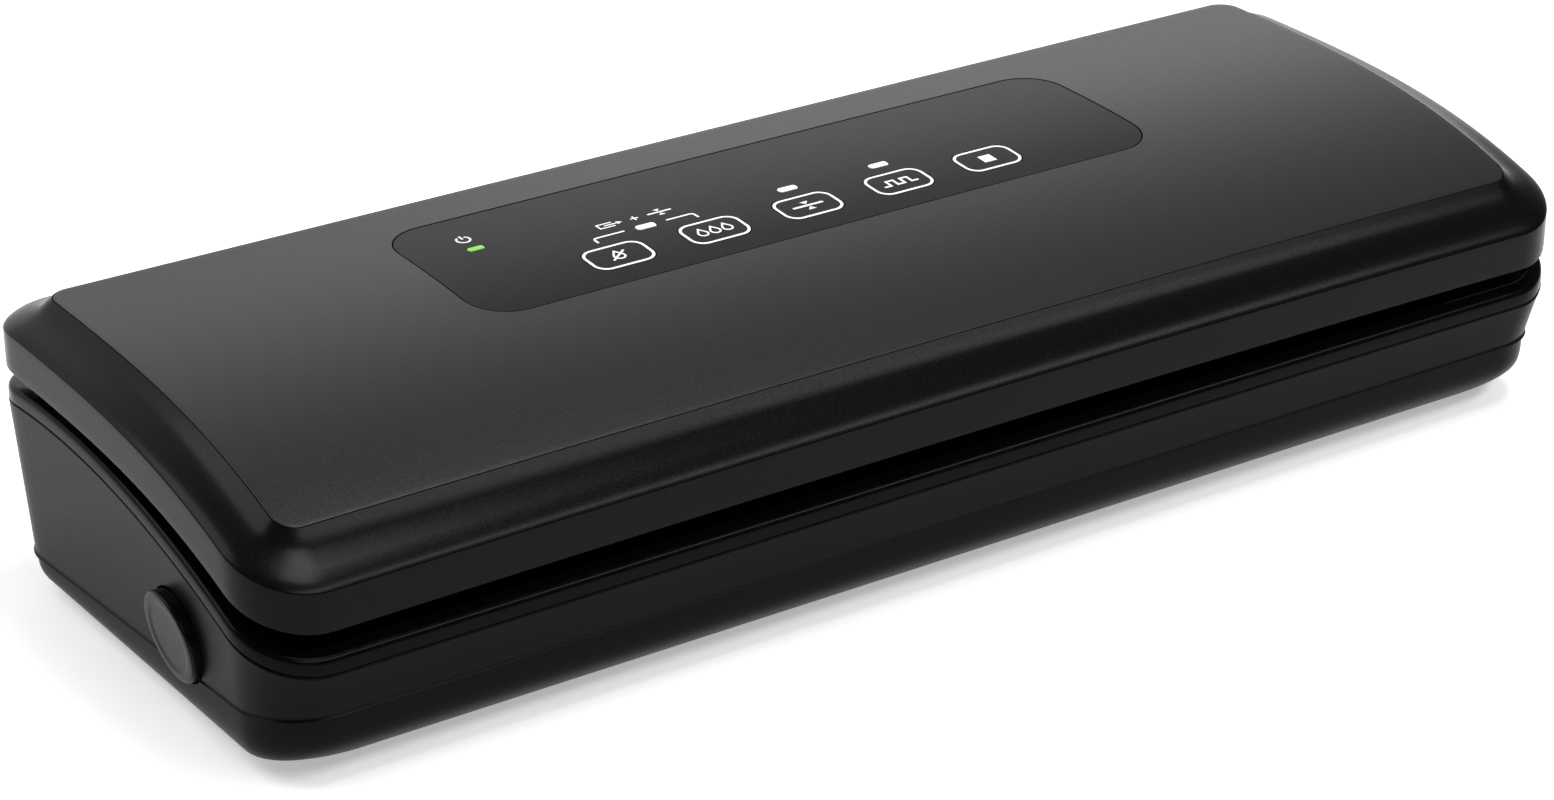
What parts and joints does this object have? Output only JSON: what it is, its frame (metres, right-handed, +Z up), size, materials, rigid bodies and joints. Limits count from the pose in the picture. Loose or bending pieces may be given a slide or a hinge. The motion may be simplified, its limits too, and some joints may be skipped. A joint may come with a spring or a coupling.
{
  "type": "vacuum sealer",
  "caption": "Countertop bag sealer with a hinged cambered lid, control panel keys, side release buttons, sealing bar, drip tray and vacuum pump.",
  "frame": {"origin": "centre of the footprint, on the surface that the feet stand on", "axes": "+X along the body to the right-hand end, +Y to the hinge at the rear, +Z up; the front faces -Y"},
  "size_m": [0.3852, 0.14, 0.074],
  "materials": {
    "lid_plastic": "moulded, polished",
    "plate_satin": "satin charcoal paint on sheet",
    "overlay_film": "fine-matt printed film",
    "deck_plastic": "moulded, polished",
    "base_plastic": "moulded, fine spark texture",
    "button_plastic": "moulded, fine texture",
    "liner_plastic": "moulded",
    "tray_plastic": "moulded",
    "seal_foam": "closed-cell foam",
    "silicone": "silicone",
    "sealing_cloth": "PTFE-coated glass cloth",
    "bakelite": "pressed phenolic",
    "rubber": "moulded",
    "circuit_board": "solder mask on glass epoxy",
    "copper": "enamelled wire",
    "steel": "plated or rolled",
    "lamp_white": "diffusing lens",
    "lamp_green": "diffusing lens, lit green"
  },
  "bodies": {
    "base": {"base_deck": "deck_plastic", "base_housing": "base_plastic", "chamber_gasket": "seal_foam", "drip_tray": "tray_plastic", "heater_bar": "bakelite", "heating_strip": "steel", "sealing_tape": "sealing_cloth", "suction_nozzle": "liner_plastic", "foot_1": "rubber", "foot_2": "rubber", "foot_3": "rubber", "foot_4": "rubber", "base_screw_1": "steel", "base_screw_2": "steel", "base_screw_3": "steel", "base_screw_4": "steel", "hinge_pin_left": "steel", "hinge_pin_right": "steel", "button_spring_left": "steel", "button_spring_right": "steel", "lever_pin_left": "steel", "lever_pin_right": "steel", "pump_motor": "steel", "pump_head": "liner_plastic", "release_valve": "liner_plastic", "pump_hose": "silicone", "nozzle_hose": "silicone", "transformer_core": "steel", "transformer_coil": "copper", "power_board": "circuit_board", "mains_inlet": "liner_plastic", "lid_switch": "liner_plastic"},
    "lid": {"lid_shell": "lid_plastic", "lid_top_plate": "plate_satin", "control_overlay": "overlay_film", "lid_liner": "liner_plastic", "lid_gasket": "seal_foam", "lid_pressure_strip": "silicone", "lid_circuit_board": "circuit_board", "lid_screw_1": "steel", "lid_screw_2": "steel", "lid_screw_3": "steel", "lid_screw_4": "steel", "lamp_power": "lamp_green", "lamp_mode": "lamp_white", "lamp_seal": "lamp_white", "lamp_pulse": "lamp_white", "lid_hook_left": "liner_plastic", "lid_hook_right": "liner_plastic"},
    "key_dry_cap": {"key_dry": "overlay_film"},
    "key_moist_cap": {"key_moist": "overlay_film"},
    "key_seal_cap": {"key_seal": "overlay_film"},
    "key_pulse_cap": {"key_pulse": "overlay_film"},
    "key_stop_cap": {"key_stop": "overlay_film"},
    "release_left": {"release_button_left": "button_plastic"},
    "lever_left": {"latch_lever_left": "liner_plastic"},
    "release_right": {"release_button_right": "button_plastic"},
    "lever_right": {"latch_lever_right": "liner_plastic"},
    "crank": {"pump_crank": "steel"}
  },
  "joints": [
    {"name": "lid_hinge", "type": "hinge", "parent": "base", "child": "lid", "pos_m": [0, 0.0625, 0.062], "axis": [-1, 0, 0], "range_deg": [0, 75]},
    {"name": "key_dry_press", "type": "slide", "parent": "lid", "child": "key_dry_cap", "axis": [0, 0, -1], "range_m": [0, 0.0004], "stiffness_N_per_m": 600},
    {"name": "key_moist_press", "type": "slide", "parent": "lid", "child": "key_moist_cap", "axis": [0, 0, -1], "range_m": [0, 0.0004], "stiffness_N_per_m": 600},
    {"name": "key_seal_press", "type": "slide", "parent": "lid", "child": "key_seal_cap", "axis": [0, 0, -1], "range_m": [0, 0.0004], "stiffness_N_per_m": 600},
    {"name": "key_pulse_press", "type": "slide", "parent": "lid", "child": "key_pulse_cap", "axis": [0, 0, -1], "range_m": [0, 0.0004], "stiffness_N_per_m": 600},
    {"name": "key_stop_press", "type": "slide", "parent": "lid", "child": "key_stop_cap", "axis": [0, 0, -1], "range_m": [0, 0.0004], "stiffness_N_per_m": 600},
    {"name": "release_left_press", "type": "slide", "parent": "base", "child": "release_left", "axis": [1, 0, 0], "range_m": [0, 0.003], "stiffness_N_per_m": 500},
    {"name": "lever_left_turn", "type": "hinge", "parent": "base", "child": "lever_left", "pos_m": [-0.1665, -0.0245, 0.014], "axis": [0, 1, 0], "range_deg": [0, 20.7]},
    {"name": "release_right_press", "type": "slide", "parent": "base", "child": "release_right", "axis": [-1, 0, 0], "range_m": [0, 0.003], "stiffness_N_per_m": 500},
    {"name": "lever_right_turn", "type": "hinge", "parent": "base", "child": "lever_right", "pos_m": [0.1665, -0.0245, 0.014], "axis": [0, -1, 0], "range_deg": [0, 20.7]},
    {"name": "pump_spin", "type": "hinge", "parent": "base", "child": "crank", "pos_m": [-0.08, 0.028, 0.024], "axis": [1, 0, 0], "continuous": true}
  ],
  "couplings": [
    {"joint": "lever_left_turn", "follows": "release_left_press", "rad_per_m": 120},
    {"joint": "lever_right_turn", "follows": "release_right_press", "rad_per_m": 120}
  ]
}
